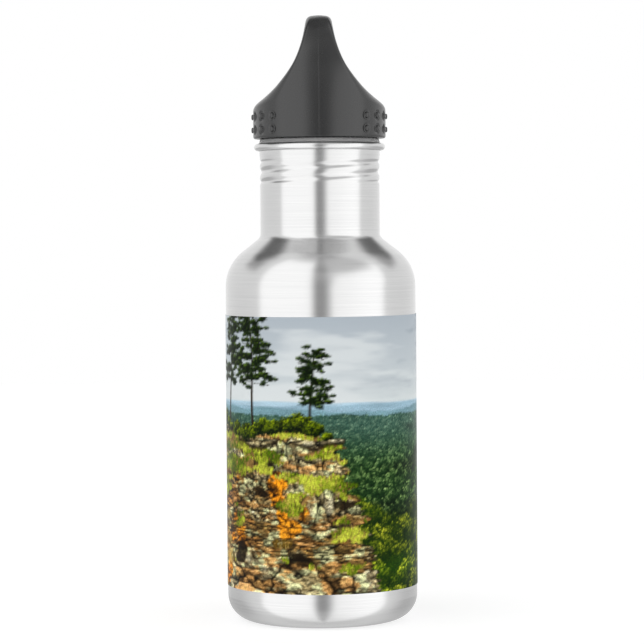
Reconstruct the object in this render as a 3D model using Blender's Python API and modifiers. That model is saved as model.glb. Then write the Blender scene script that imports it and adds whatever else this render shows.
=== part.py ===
"""Single-wall steel drinking bottle with a screw-in loop cap.

Units are metres, +Z is up and the origin is at the middle of the base, on the surface the bottle
stands on. The cap's carrying loop lies in the YZ plane, so its finger hole runs along X.
"""

from math import cos, pi, radians, sin

import bmesh
import bpy
from mathutils import Matrix

MM = 0.001
SEGMENTS = 40
GAP = 0.3 * MM

# Bottle: steel shell
WALL = 0.5 * MM
BODY_RADIUS = 35.0 * MM
BASE_CORNER = 9.6 * MM
STAND_WIDTH = 2.0 * MM
SHOULDER_START = 123.0 * MM
SHOULDER_RADIUS = 16.5 * MM
SHOULDER_TURN = radians(52)
NECK_RADIUS = 22.0 * MM
NECK_TOP_SWELL = 0.2 * MM
NECK_SWELL_HEIGHT = 0.4 * MM
NECK_START = 141.25 * MM
LIP_TOP = 175.8 * MM
LIP_BEAD_RADIUS = 1.05 * MM
LIP_BEAD_MIDDLE = 23.1 * MM
LIP_FOOT = 0.3 * MM
LIP_ROUND = 0.8 * MM

# Rolled thread, which stands inwards from the neck wall
THREAD_STARTS = 2
THREAD_SPACING = 4.13 * MM
THREAD_LEAD = THREAD_STARTS * THREAD_SPACING
THREAD_MIDDLE = 165.1 * MM
THREAD_DEPTH = 0.5 * MM
THREAD_LOW = 159.6 * MM
THREAD_HIGH = 170.8 * MM
THREAD_FADE = 1.4 * MM
THREAD_ROWS = 16

# Welded base
BASE_DISHED_RADIUS = 20.0 * MM
BASE_DISH_HEIGHT = 3.2 * MM
BASE_CROWN = 0.6 * MM
BASE_STEP = 1.0 * MM

# Printed film around the body
FILM_THICKNESS = 0.25 * MM
FILM_GAP = 0.25 * MM
FILM_LOW = 13.3 * MM
FILM_HIGH = 112.8 * MM
FILM_SEAM = radians(1.0)

# Cap: collar, loop and finger hole
COLLAR_RADIUS = 24.4 * MM
COLLAR_BOTTOM = 177.8 * MM
COLLAR_EDGE = 0.5 * MM
ARCH_START = 190.0 * MM
ARCH_TOP = 222.8 * MM
ARCH_POWER = 2.2
FLANK_POINTS = ((22.9, 190.0), (8.66, 202.6), (6.4, 210.0), (4.52, 222.7))
FLANK_LAST = 0.94
FLANK_CLEARANCE = 0.2 * MM
FLANK_CORNER = 3.6 * MM
FLANK_CORNER_START = 187.1 * MM
TIP_CORNER = 1.7 * MM
CUTTER_REACH = 30 * MM
HOLE_BOTTOM = 196.5 * MM
HOLE_SPRING = 201.5 * MM
HOLE_HALF_WIDTH = 15.5 * MM
HOLE_ARCH_HEIGHT = 14.0 * MM
HOLE_CORNER = 5.0 * MM
SOCKET_RADIUS = 20.9 * MM
SOCKET_TOP = 183.0 * MM
HOLLOW_RADIUS = 18.6 * MM
HOLLOW_TOP = 191.5 * MM
EDGE_ROUND = 0.6 * MM

# Grip dots on the collar's two sides
DOT_RADIUS = 1.3 * MM
DOT_HEIGHT = 0.6 * MM
DOT_SUNK = 0.8 * MM
DOT_SIDES = 8
DOT_ROWS = (180.6 * MM, 185.4 * MM)
DOT_STEP = radians(15)
DOT_COLUMNS = 7

# Threaded plug, its end disc and the seal
PLUG_RADIUS = 20.3 * MM
PLUG_BORE = 18.8 * MM
PLUG_BOTTOM = 157.5 * MM
PLUG_RIM_RADIUS = 20.6 * MM
PLUG_RIM_HEIGHT = 2.6 * MM
PLUG_THREAD_RADIUS = 21.25 * MM
PLUG_THREAD_HALF_WIDTH = 1.3 * MM
PLUG_CHAMFER = 0.5 * MM
DISC_THICKNESS = 1.5 * MM
SEAL_INNER = 20.6 * MM
SEAL_TOP_RADIUS = 21.8 * MM
SEAL_BOTTOM_RADIUS = 22.2 * MM
SEAL_BOTTOM = 176.05 * MM
SEAL_HEIGHT = 1.5 * MM
SEAL_CHAMFER = 0.35 * MM


# ---- helpers -------------------------------------------------------------------------------


def clear_scene():
    for obj in list(bpy.data.objects):
        bpy.data.objects.remove(obj, do_unlink=True)


def new_collection(name):
    made = bpy.data.collections.new(name)
    bpy.context.scene.collection.children.link(made)
    return made


def new_material(name, colour, roughness, metallic=0.0):
    made = bpy.data.materials.new(name)
    made.use_nodes = True
    shader = made.node_tree.nodes["Principled BSDF"]
    shader.inputs["Base Color"].default_value = (*colour, 1.0)
    shader.inputs["Roughness"].default_value = roughness
    shader.inputs["Metallic"].default_value = metallic
    return made


def arc(centre, radius, start, end, steps):
    """Points (r, z) of an arc or, with two radii, of an elliptical arc; angles in degrees."""
    across, up = radius if isinstance(radius, tuple) else (radius, radius)
    angles = [radians(start + (end - start) * i / steps) for i in range(steps + 1)]
    return [(centre[0] + across * cos(a), centre[1] + up * sin(a)) for a in angles]


def bezier(points, steps, last=1.0):
    """Points along a cubic Bezier curve, up to the parameter last."""
    made = []
    for i in range(steps + 1):
        t = last * i / steps
        weights = ((1 - t) ** 3, 3 * t * (1 - t) ** 2, 3 * t * t * (1 - t), t**3)
        made.append(tuple(sum(w * p[k] for w, p in zip(weights, points)) for k in (0, 1)))
    return made


def spread(low, high, steps):
    return [low + (high - low) * i / steps for i in range(steps + 1)]


def smooth_step(value, low, high):
    t = min(max((value - low) / (high - low), 0.0), 1.0)
    return t * t * (3 - 2 * t)


def add_object(name, mesh, where, material):
    obj = bpy.data.objects.new(name, mesh)
    where.objects.link(obj)
    if material:
        mesh.materials.append(material)
    return obj


def turned(name, profile, where, material, closed=True, angle=2 * pi, steps=SEGMENTS):
    """A profile of (r, z) points in the XZ plane, turned about Z with a Screw modifier."""
    mesh = bpy.data.meshes.new(name)
    shape = bmesh.new()
    corners = [shape.verts.new((r, 0, z)) for r, z in profile]
    for first, second in zip(corners, corners[1:] + corners[:1] if closed else corners[1:]):
        shape.edges.new((first, second))
    shape.to_mesh(mesh)
    shape.free()
    obj = add_object(name, mesh, where, material)
    screw = obj.modifiers.new("Screw", "SCREW")
    screw.axis = "Z"
    screw.angle = angle
    screw.steps = screw.render_steps = steps
    screw.use_merge_vertices = True
    screw.merge_threshold = 0.01 * MM
    screw.use_smooth_shade = True
    return obj


def baked(obj):
    """Replaces the object's mesh by its evaluated one, with the modifiers gone."""
    graph = bpy.context.evaluated_depsgraph_get()
    mesh = bpy.data.meshes.new_from_object(obj.evaluated_get(graph))
    obj.modifiers.clear()
    obj.data = mesh
    return obj


def outline_solid(name, outline, turn, where):
    """A flat outline, filled and extruded both ways, then turned into its plane."""
    curve = bpy.data.curves.new(name, "CURVE")
    curve.dimensions = "2D"
    curve.fill_mode = "BOTH"
    curve.extrude = CUTTER_REACH
    spline = curve.splines.new("POLY")
    spline.points.add(len(outline) - 1)
    spline.use_cyclic_u = True
    for point, (across, up) in zip(spline.points, outline):
        point.co = (across, up, 0, 1)
    guide = bpy.data.objects.new(name, curve)
    where.objects.link(guide)
    graph = bpy.context.evaluated_depsgraph_get()
    mesh = bpy.data.meshes.new_from_object(guide.evaluated_get(graph))
    bpy.data.objects.remove(guide, do_unlink=True)
    shape = bmesh.new()
    shape.from_mesh(mesh)
    bmesh.ops.remove_doubles(shape, verts=shape.verts, dist=0.001 * MM)
    bmesh.ops.recalc_face_normals(shape, faces=shape.faces)
    bmesh.ops.transform(shape, matrix=turn, verts=shape.verts)
    shape.to_mesh(mesh)
    shape.free()
    return as_cutter(add_object(name, mesh, where, None))


def as_cutter(obj):
    obj.hide_render = True
    obj.display_type = "WIRE"
    return obj


def add_boolean(obj, other, operation):
    made = obj.modifiers.new(other.name, "BOOLEAN")
    made.operation = operation
    made.object = other
    made.solver = "EXACT"


# ---- thread --------------------------------------------------------------------------------


def thread_distance(angle, z, offset=0.0):
    """Axial distance from a point of the neck to the middle of the nearest turn."""
    climb = THREAD_LEAD * angle / (2 * pi)
    turns = (z - THREAD_MIDDLE - offset - climb) / THREAD_SPACING
    return abs(turns - round(turns)) * THREAD_SPACING


def thread_fade(z):
    rise = smooth_step(z, THREAD_LOW, THREAD_LOW + THREAD_FADE)
    return rise * (1 - smooth_step(z, THREAD_HIGH - THREAD_FADE, THREAD_HIGH))


def rolled_depth(angle, z):
    """How far the rolled thread presses the neck wall inwards."""
    wave = 0.5 * (1 + cos(2 * pi * thread_distance(angle, z) / THREAD_SPACING))
    return THREAD_DEPTH * wave * thread_fade(z)


def plug_thread_height(angle, z):
    """How far the plug's thread stands out; it runs midway between the rolled turns."""
    distance = thread_distance(angle, z, THREAD_SPACING / 2)
    if distance >= PLUG_THREAD_HALF_WIDTH:
        return 0.0
    wave = 0.5 * (1 + cos(pi * distance / PLUG_THREAD_HALF_WIDTH))
    return (PLUG_THREAD_RADIUS - PLUG_RADIUS) * wave * thread_fade(z)


def shift_radius(obj, change):
    """Moves each vertex of a turned mesh along its radius by change(angle, r, z)."""
    for vertex in obj.data.vertices:
        flat = vertex.co.xy
        if flat.length > 0:
            moved = flat.length + change(flat.angle_signed((1, 0)), flat.length, vertex.co.z)
            vertex.co.xy = flat.normalized() * moved


# ---- bottle --------------------------------------------------------------------------------


def neck_radius(z):
    swell = smooth_step(z, THREAD_HIGH, THREAD_HIGH + NECK_SWELL_HEIGHT)
    return NECK_RADIUS + NECK_TOP_SWELL * swell


def shell_outside():
    """The shell's outer side from under the lip bead down to the standing ring."""
    bead_foot = LIP_TOP - 2 * LIP_BEAD_RADIUS - LIP_FOOT
    neck = [bead_foot, THREAD_HIGH + NECK_SWELL_HEIGHT]
    neck += spread(THREAD_HIGH, THREAD_LOW, THREAD_ROWS)
    points = [(neck_radius(z), z) for z in neck]
    points.append((NECK_RADIUS, NECK_START))
    centre = (BODY_RADIUS - SHOULDER_RADIUS, SHOULDER_START)
    points += arc(centre, SHOULDER_RADIUS, SHOULDER_TURN * 180 / pi, 0, 7)
    corner = (BODY_RADIUS - BASE_CORNER, BASE_CORNER)
    return points + arc(corner, BASE_CORNER, 0, -90, 6)


def shell_inside():
    """The shell's inner side from the standing ring up to the lip."""
    corner = (BODY_RADIUS - BASE_CORNER, BASE_CORNER)
    points = arc(corner, BASE_CORNER - WALL, -90, 0, 6)
    centre = (BODY_RADIUS - SHOULDER_RADIUS, SHOULDER_START)
    points += arc(centre, SHOULDER_RADIUS - WALL, 0, SHOULDER_TURN * 180 / pi, 7)
    points.append((NECK_RADIUS - WALL, NECK_START - WALL / 2))
    points += [(NECK_RADIUS - WALL, z) for z in spread(THREAD_LOW, THREAD_HIGH, THREAD_ROWS)]
    return points


def lip():
    """The rolled lip, from the neck's inner wall over the top and round the bead."""
    inner = NECK_RADIUS - WALL
    mouth = arc((inner + LIP_ROUND, LIP_TOP - LIP_ROUND), LIP_ROUND, 180, 90, 3)
    bead = (LIP_BEAD_MIDDLE, LIP_TOP - LIP_BEAD_RADIUS)
    return mouth + arc(bead, LIP_BEAD_RADIUS, 90, -100, 7)


def make_bottle_shell(where, material):
    stand = BODY_RADIUS - BASE_CORNER - STAND_WIDTH
    profile = lip() + shell_outside() + [(stand, 0), (stand, WALL)] + shell_inside()
    shell = baked(turned("bottle_shell", profile, where, material))
    shift_radius(shell, lambda angle, r, z: -rolled_depth(angle, z))
    return shell


def make_base_plate(where, material):
    """The pressed base: a rim lapped on the shell's curl, and a raised middle."""
    rim_low = WALL + GAP
    rim_out = BODY_RADIUS - BASE_CORNER
    rim_in = rim_out - STAND_WIDTH - BASE_STEP
    low = [(rim_out, rim_low), (rim_in, rim_low)]
    low += [(BASE_DISHED_RADIUS, BASE_DISH_HEIGHT), (0, BASE_DISH_HEIGHT + BASE_CROWN)]
    high = [(r, z + WALL) for r, z in reversed(low)]
    return turned("base_plate", high + low, where, material)


def make_printed_film(where, material):
    """The printed film: a sleeve whose butt seam is at the back."""
    inside = BODY_RADIUS + FILM_GAP
    line = [(inside, FILM_HIGH), (inside, FILM_LOW)]
    angle = 2 * pi - FILM_SEAM
    film = turned("printed_film", line, where, material, closed=False, angle=angle)
    solidify = film.modifiers.new("Solidify", "SOLIDIFY")
    solidify.thickness = FILM_THICKNESS
    solidify.offset = 1.0
    film.rotation_euler.z = pi / 2 + FILM_SEAM / 2
    return film


# ---- cap -----------------------------------------------------------------------------------


def arch_profile(steps):
    """The loop's outer arch, from the collar to the top."""
    angles = [0.5 * pi * i / steps for i in range(steps + 1)]
    power = 2 / ARCH_POWER
    height = ARCH_TOP - ARCH_START
    curve = [(COLLAR_RADIUS * cos(a) ** power, ARCH_START + height * sin(a) ** power) for a in angles]
    curve[-1] = (0, ARCH_TOP)
    return curve


def cap_profile():
    """The cap turned about Z: the arch, the collar, and the hollow that takes the plug."""
    points = list(reversed(arch_profile(12)))
    points.append((COLLAR_RADIUS, COLLAR_BOTTOM + COLLAR_EDGE))
    points.append((COLLAR_RADIUS - COLLAR_EDGE, COLLAR_BOTTOM))
    points += [(SOCKET_RADIUS, COLLAR_BOTTOM), (SOCKET_RADIUS, SOCKET_TOP)]
    roof = arc((0, SOCKET_TOP), (HOLLOW_RADIUS, HOLLOW_TOP - SOCKET_TOP), 0, 90, 5)
    roof[-1] = (0, HOLLOW_TOP)
    return points + roof


def flank_outline():
    """The cap seen along Y: collar, rounded shoulders and the hollowed flanks up to the tip."""
    clear = COLLAR_RADIUS + FLANK_CLEARANCE
    low = COLLAR_BOTTOM - 2 * MM
    shoulder = arc((clear - FLANK_CORNER, FLANK_CORNER_START), FLANK_CORNER, 0, 42, 4)
    flank = [(r * MM, z * MM) for r, z in bezier(FLANK_POINTS, 12, FLANK_LAST)]
    tip = arc((flank[-1][0] - TIP_CORNER, ARCH_TOP - TIP_CORNER), TIP_CORNER, 20, 90, 4)
    side = [(clear, low)] + shoulder + flank + tip
    return side + [(-r, z) for r, z in reversed(side)]


def hole_outline():
    """The finger hole seen along X: a flat floor with rounded corners, under a round arch."""
    floor = (HOLE_HALF_WIDTH - HOLE_CORNER, HOLE_BOTTOM + HOLE_CORNER)
    side = arc(floor, HOLE_CORNER, -90, 0, 4)
    side += arc((0, HOLE_SPRING), (HOLE_HALF_WIDTH, HOLE_ARCH_HEIGHT), 0, 90, 8)[1:-1]
    return side + [(0, HOLE_SPRING + HOLE_ARCH_HEIGHT)] + [(-y, z) for y, z in reversed(side)]


def grip_dot(angle, height, where):
    """One domed dot, sunk into the collar's side."""
    dome = arc((0, 0), (DOT_RADIUS, DOT_HEIGHT), 0, 90, 3)
    dome[-1] = (0, DOT_HEIGHT)
    profile = list(reversed(dome)) + [(DOT_RADIUS, -DOT_SUNK), (0, -DOT_SUNK)]
    dot = turned("grip_dot", profile, where, None, closed=False, steps=DOT_SIDES)
    outwards = Matrix.Rotation(angle, 4, "Z") @ Matrix.Translation((COLLAR_RADIUS, 0, height))
    dot.matrix_world = outwards @ Matrix.Rotation(pi / 2, 4, "Y")
    return dot


def grip_dots(where):
    """All the grip dots as one mesh of separate bodies, which a union joins to the collar."""
    shape = bmesh.new()
    middle = (DOT_COLUMNS - 1) / 2
    for side in (0, pi):
        for column in range(DOT_COLUMNS):
            for height in DOT_ROWS:
                dot = grip_dot(side + (column - middle) * DOT_STEP, height, where)
                place = dot.matrix_world.copy()
                mesh = baked(dot).data
                mesh.transform(place)
                shape.from_mesh(mesh)
                bpy.data.objects.remove(dot, do_unlink=True)
    mesh = bpy.data.meshes.new("grip_dots")
    shape.to_mesh(mesh)
    shape.free()
    return as_cutter(add_object("grip_dots", mesh, where, None))


def make_loop_cap(where, cutters, material):
    cap = turned("loop_cap", cap_profile(), where, material, closed=False)
    upright = Matrix.Rotation(pi / 2, 4, "X")
    sideways = Matrix.Rotation(pi / 2, 4, "Z") @ upright
    flanks = outline_solid("flank_shape", flank_outline(), upright, cutters)
    hole = outline_solid("finger_hole", hole_outline(), sideways, cutters)
    add_boolean(cap, flanks, "INTERSECT")
    add_boolean(cap, hole, "DIFFERENCE")
    bevel = cap.modifiers.new("Rounded edges", "BEVEL")
    bevel.width = EDGE_ROUND
    bevel.segments = 1
    bevel.angle_limit = radians(40)
    add_boolean(cap, grip_dots(cutters), "UNION")
    return cap


def make_threaded_plug(where, material):
    """The hollow plug: a tube with a thread outside and a rim held in the cap's socket."""
    top = SOCKET_TOP - GAP
    rim = top - PLUG_RIM_HEIGHT
    outside = [(PLUG_BORE, top), (PLUG_RIM_RADIUS, top), (PLUG_RIM_RADIUS, rim), (PLUG_RADIUS, rim)]
    outside += [(PLUG_RADIUS, z) for z in spread(THREAD_HIGH, THREAD_LOW, THREAD_ROWS)]
    outside.append((PLUG_RADIUS, PLUG_BOTTOM + PLUG_CHAMFER))
    outside += [(PLUG_RADIUS - PLUG_CHAMFER, PLUG_BOTTOM), (PLUG_BORE, PLUG_BOTTOM)]
    plug = baked(turned("threaded_plug", outside, where, material))

    middle = (PLUG_BORE + PLUG_RADIUS) / 2

    def change(angle, radius, z):
        return plug_thread_height(angle, z) if radius > middle else 0.0

    shift_radius(plug, change)
    return plug


def make_plug_end_disc(where, material):
    radius = PLUG_BORE - GAP
    top = PLUG_BOTTOM + DISC_THICKNESS
    profile = [(0, top), (radius, top), (radius, PLUG_BOTTOM), (0, PLUG_BOTTOM)]
    return turned("plug_end_disc", profile, where, material, closed=False)


def make_seal_ring(where, material):
    top = SEAL_BOTTOM + SEAL_HEIGHT
    bulge = (SEAL_BOTTOM_RADIUS, SEAL_BOTTOM + SEAL_CHAMFER)
    profile = [(SEAL_INNER, top), (SEAL_TOP_RADIUS, top), bulge]
    profile += [(SEAL_BOTTOM_RADIUS - SEAL_CHAMFER, SEAL_BOTTOM), (SEAL_INNER, SEAL_BOTTOM)]
    return turned("seal_ring", profile, where, material)


# ---- assembly ------------------------------------------------------------------------------


def main():
    clear_scene()
    bottle = new_collection("water_bottle")
    cutters = new_collection("cutters")
    cutters.hide_render = True
    steel = new_material("brushed_steel", (0.62, 0.62, 0.62), 0.3, 1.0)
    print_film = new_material("printed_film", (0.22, 0.3, 0.2), 0.35)
    black_plastic = new_material("black_plastic", (0.03, 0.03, 0.032), 0.5)
    plug_plastic = new_material("plug_plastic", (0.025, 0.025, 0.027), 0.55)
    disc_plastic = new_material("disc_plastic", (0.03, 0.03, 0.03), 0.5)
    silicone = new_material("silicone", (0.12, 0.12, 0.125), 0.6)

    make_bottle_shell(bottle, steel)
    make_base_plate(bottle, steel)
    make_printed_film(bottle, print_film)
    moving = [
        make_loop_cap(bottle, cutters, black_plastic),
        make_threaded_plug(bottle, plug_plastic),
        make_plug_end_disc(bottle, disc_plastic),
        make_seal_ring(bottle, silicone),
    ]
    axis = bpy.data.objects.new("cap_axis", None)
    bottle.objects.link(axis)
    for obj in moving:
        obj.parent = axis


main()
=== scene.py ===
"""Looks of a steel drinking bottle with a screw-in loop cap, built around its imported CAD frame.

Lengths in the shapes below are in millimetres and become metres when a mesh is made. The bottle
stands on z = 0 with its axis on Z. The cap's carrying loop lies in the YZ plane.
"""

from math import cos, floor, pi, radians, sin, tau

import bpy
import numpy as np
from mathutils import Euler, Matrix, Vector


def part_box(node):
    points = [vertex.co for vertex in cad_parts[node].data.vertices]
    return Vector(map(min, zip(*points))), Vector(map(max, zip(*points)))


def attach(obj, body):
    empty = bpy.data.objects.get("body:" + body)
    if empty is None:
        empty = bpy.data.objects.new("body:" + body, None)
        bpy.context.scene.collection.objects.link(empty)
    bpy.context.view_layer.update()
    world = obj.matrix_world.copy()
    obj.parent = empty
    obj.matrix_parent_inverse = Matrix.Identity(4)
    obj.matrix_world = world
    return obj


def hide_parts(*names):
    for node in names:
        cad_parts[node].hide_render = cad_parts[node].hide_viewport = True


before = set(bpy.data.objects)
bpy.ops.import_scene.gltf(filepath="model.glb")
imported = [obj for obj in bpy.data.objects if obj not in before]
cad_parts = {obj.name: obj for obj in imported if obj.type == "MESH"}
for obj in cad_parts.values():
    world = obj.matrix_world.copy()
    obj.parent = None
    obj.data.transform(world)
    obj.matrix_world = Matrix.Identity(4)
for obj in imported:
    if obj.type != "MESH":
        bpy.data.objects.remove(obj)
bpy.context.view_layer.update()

MM = 0.001
TURN_SEGMENTS = 240
FRONT = -pi / 2
SHARP_EDGE = radians(50)

# ---- sizes that the looks add to the frame's boxes ------------------------------------------

# Steel shell
WALL = 0.5
BASE_CORNER = 9.6
STAND_WIDTH = 2.0
STAND_CHAMFER = 0.15
SHOULDER_START = 123.0
SHOULDER_RADIUS = 16.5
SHOULDER_TURN = 52.0
NECK_RADIUS = 22.0
NECK_SWELL = 0.2
NECK_START = 141.25
LIP_MIDDLE = (22.825, 174.3)
LIP_OUTSIDE = (1.325, 1.3)
LIP_INSIDE = (0.825, 0.8)
LIP_END = -105.0

# Thread rolled into the neck
THREAD_SPACING = 4.13
THREAD_LEAD = 2 * THREAD_SPACING
THREAD_MIDDLE = 165.1
THREAD_DEPTH = 0.58
THREAD_SHARPNESS = 1.5
THREAD_LOW = 160.4
THREAD_HIGH = 169.9
THREAD_FADE = 1.4

# Printed wrap
WRAP_INSIDE = 0.02
WRAP_OUTSIDE = 0.2
WRAP_SEAM = radians(0.3)
WRAP_STEP = 0.49
PAINT_DETAIL = 2

# Cap
COLLAR_DROP = 0.4
ARCH_POWER = 2.2
ARCH_START = 190.0
FLANK = (
    (177.0, 29.5),
    (186.5, 26.8),
    (187.7, 25.7),
    (188.8, 24.9),
    (189.9, 23.7),
    (191.0, 21.9),
    (192.5, 19.7),
    (194.0, 17.75),
    (196.0, 15.65),
    (198.0, 13.93),
    (200.0, 12.28),
    (202.0, 10.81),
    (204.0, 9.53),
    (206.0, 8.53),
    (208.0, 7.69),
    (210.0, 6.97),
    (212.0, 6.36),
    (214.0, 5.85),
    (216.0, 5.45),
    (218.0, 5.12),
    (220.0, 4.85),
    (223.0, 4.5),
    (228.0, 4.2),
)
FLANK_SOFTENING = 25
BLEND_HEIGHTS = (185.0, 189.0, 192.0, 198.0, 204.0, 216.0, 221.0)
BLEND_WIDTHS = (0.6, 2.0, 3.5, 2.6, 1.3, 1.3, 1.9)
HOLE_SPRING = 201.5
HOLE_HALF_WIDTH = 15.5
HOLE_ARCH_HEIGHT = 14.0
HOLE_CORNER = 5.0
HOLE_BLEND = 2.4
SOCKET_RADIUS = 20.9
SOCKET_TOP = 183.0
HOLLOW_RADIUS = 18.6
HOLLOW_TOP = 191.5
DOT_ROWS = (180.6, 185.4)
DOT_STEP = radians(15)
DOT_RADIUS = 1.05
DOT_HEIGHT = 0.66
DOT_POWER = 3
DOT_ROOT = 1.5
MOAT_REACH = 1.4
MOAT_DEPTH = 0.4
FRONT_FLAT = 0.9
FRONT_RISE = 0.9
FRONT_WIDTH = 8.8
CAP_CELL = 0.39

# Plug
PLUG_RADIUS = 20.3
PLUG_BORE = 18.8
PLUG_RIM_RADIUS = 20.6
PLUG_RIM_HEIGHT = 2.6
PLUG_THREAD_HALF_WIDTH = 1.3

# Seal
SEAL_INNER = 20.6
SEAL_DROP = 0.4


# ---- meshes --------------------------------------------------------------------------------


def box_of(node):
    """A node's lowest and highest corners, in millimetres."""
    low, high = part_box(node)
    return np.array(low) / MM, np.array(high) / MM


def new_object(name, points, faces, material, sharp=None):
    """A smooth-shaded mesh object from points in millimetres; sharp is the angle of a hard edge."""
    mesh = bpy.data.meshes.new(name)
    mesh.from_pydata((np.asarray(points) * MM).tolist(), [], [list(map(int, f)) for f in faces])
    mesh.validate()
    mesh.shade_smooth()
    if sharp:
        mesh.set_sharp_from_angle(angle=sharp)
    mesh.materials.append(material)
    made = bpy.data.objects.new(name, mesh)
    bpy.context.scene.collection.objects.link(made)
    return made


def arc(centre, radius, start, end, steps):
    """Points (r, z) of an arc or, with two radii, of an elliptical arc; angles in degrees."""
    across, up = radius if isinstance(radius, tuple) else (radius, radius)
    angles = np.radians(np.linspace(start, end, steps + 1))
    return list(zip(centre[0] + across * np.cos(angles), centre[1] + up * np.sin(angles)))


def rounded(corners, radius, steps=4):
    """The corners (r, z) of a closed outline, each one rounded by a small arc."""
    made = []
    count = len(corners)
    for i in range(count):
        before, here, after = (np.array(corners[(i + k) % count], float) for k in (-1, 0, 1))
        back, on = before - here, after - here
        reach = min(radius, 0.45 * np.linalg.norm(back), 0.45 * np.linalg.norm(on))
        first = here + back / np.linalg.norm(back) * reach
        last = here + on / np.linalg.norm(on) * reach
        for t in np.linspace(0, 1, steps + 1):
            made.append(tuple((1 - t) ** 2 * first + 2 * t * (1 - t) * here + t * t * last))
    return made


def straight(start, end, steps):
    return list(zip(np.linspace(start[0], end[0], steps + 1), np.linspace(start[1], end[1], steps + 1)))


def turned(name, outline, material, shift=None, sharp=SHARP_EDGE):
    """A closed outline of (r, z) points turned about Z.

    The outline runs out along the bottom, up the outside and back down the inside. Points on the
    axis become one pole each. shift(angle, r, z) gives how far each point moves outwards.
    """
    outline = np.array(outline, float)
    outline = outline[np.abs(outline - np.roll(outline, 1, axis=0)).max(axis=1) > 1e-6]
    angles = np.arange(TURN_SEGMENTS) * tau / TURN_SEGMENTS
    points, rows = [], []
    for r, z in outline:
        if r < 1e-6:
            rows.append(np.full(TURN_SEGMENTS, len(points)))
            points.append((0, 0, z))
            continue
        reach = r + (shift(angles, r, z) if shift else 0 * angles)
        rows.append(len(points) + np.arange(TURN_SEGMENTS))
        points += [(x, y, z) for x, y in zip(reach * np.cos(angles), reach * np.sin(angles))]
    faces = []
    for first, second in zip(rows, rows[1:] + rows[:1]):
        for i in range(TURN_SEGMENTS):
            j = (i + 1) % TURN_SEGMENTS
            face = dict.fromkeys((first[i], first[j], second[j], second[i]))
            if len(face) > 2:
                faces.append(list(face))
    return new_object(name, points, faces, material, sharp)


def smooth_step(value, low, high):
    t = np.clip((value - low) / (high - low), 0, 1)
    return t * t * (3 - 2 * t)


def mix(a, b, t):
    return a + (b - a) * t


# ---- shapes from distance fields -------------------------------------------------------------


def smooth_max(a, b, width):
    t = np.clip(0.5 + 0.5 * (a - b) / width, 0, 1)
    return mix(b, a, t) + width * t * (1 - t)


def surface_net(distance, low, high, cell):
    """Points and quads of the closed surface on which distance(x, y, z) is zero."""
    counts = np.ceil((np.array(high) - low) / cell).astype(int) + 1
    axes = [low[k] + cell * np.arange(counts[k]) for k in range(3)]
    value = distance(*np.meshgrid(*axes, indexing="ij"))
    shape = np.array(value.shape) - 1

    def corner(i, j, k):
        return value[i : i + shape[0], j : j + shape[1], k : k + shape[2]]

    ends = [(i, j, k) for i in (0, 1) for j in (0, 1) for k in (0, 1)]
    total, crossings = np.zeros((*shape, 3)), np.zeros(shape)
    for a in ends:
        for axis in range(3):
            if a[axis]:
                continue
            b = tuple(a[k] + (k == axis) for k in range(3))
            first, second = corner(*a), corner(*b)
            crossed = (first < 0) != (second < 0)
            part = np.where(crossed, first / np.where(crossed, first - second, 1), 0)
            for k in range(3):
                total[..., k] += crossed * (a[k] + (part if k == axis else 0))
            crossings += crossed
    used = crossings > 0
    index = np.full(shape, -1)
    index[used] = np.arange(used.sum())
    cells = np.argwhere(used)
    points = np.array(low) + cell * (cells + total[used] / crossings[used][:, None])
    quads = []
    for axis in range(3):
        u, v = [k for k in range(3) if k != axis]
        here = [slice(1, s) for s in shape]
        here[axis] = slice(0, shape[axis])
        ahead = list(here)
        ahead[axis] = slice(1, shape[axis] + 1)
        inside, beyond = value[tuple(here)] < 0, value[tuple(ahead)] < 0
        for flip, edges in ((False, inside & ~beyond), (True, ~inside & beyond)):
            at = np.argwhere(edges) + [0 if k == axis else 1 for k in range(3)]
            ring = []
            for du, dv in ((1, 1), (0, 1), (0, 0), (1, 0)):
                shifted = at.copy()
                shifted[:, u] -= du
                shifted[:, v] -= dv
                ring.append(index[tuple(shifted.T)])
            quads.append(np.stack(ring[::-1] if flip != (axis == 1) else ring, 1))
    return points, np.concatenate(quads)


def settle(distance, points, rounds, reach=0.02):
    """Moves points onto the zero of a distance field, along its slope."""
    for _ in range(rounds):
        x, y, z = points.T
        slope = np.stack(
            [
                distance(x + reach, y, z) - distance(x - reach, y, z),
                distance(x, y + reach, z) - distance(x, y - reach, z),
                distance(x, y, z + reach) - distance(x, y, z - reach),
            ],
            1,
        ) / (2 * reach)
        size = np.maximum((slope**2).sum(1), 0.1)
        points = points - slope * (np.clip(distance(x, y, z), -0.3, 0.3) / size)[:, None]
    return points


def relaxed(points, quads, part):
    """Points moved part of the way to the mean of their neighbours."""
    total, count = np.zeros_like(points), np.zeros(len(points))
    for k in range(4):
        first, second = quads[:, k], quads[:, (k + 1) % 4]
        for a, b in ((first, second), (second, first)):
            np.add.at(total, a, points[b])
            np.add.at(count, a, 1)
    return mix(points, total / count[:, None], part)


# ---- the printed picture ---------------------------------------------------------------------

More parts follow.
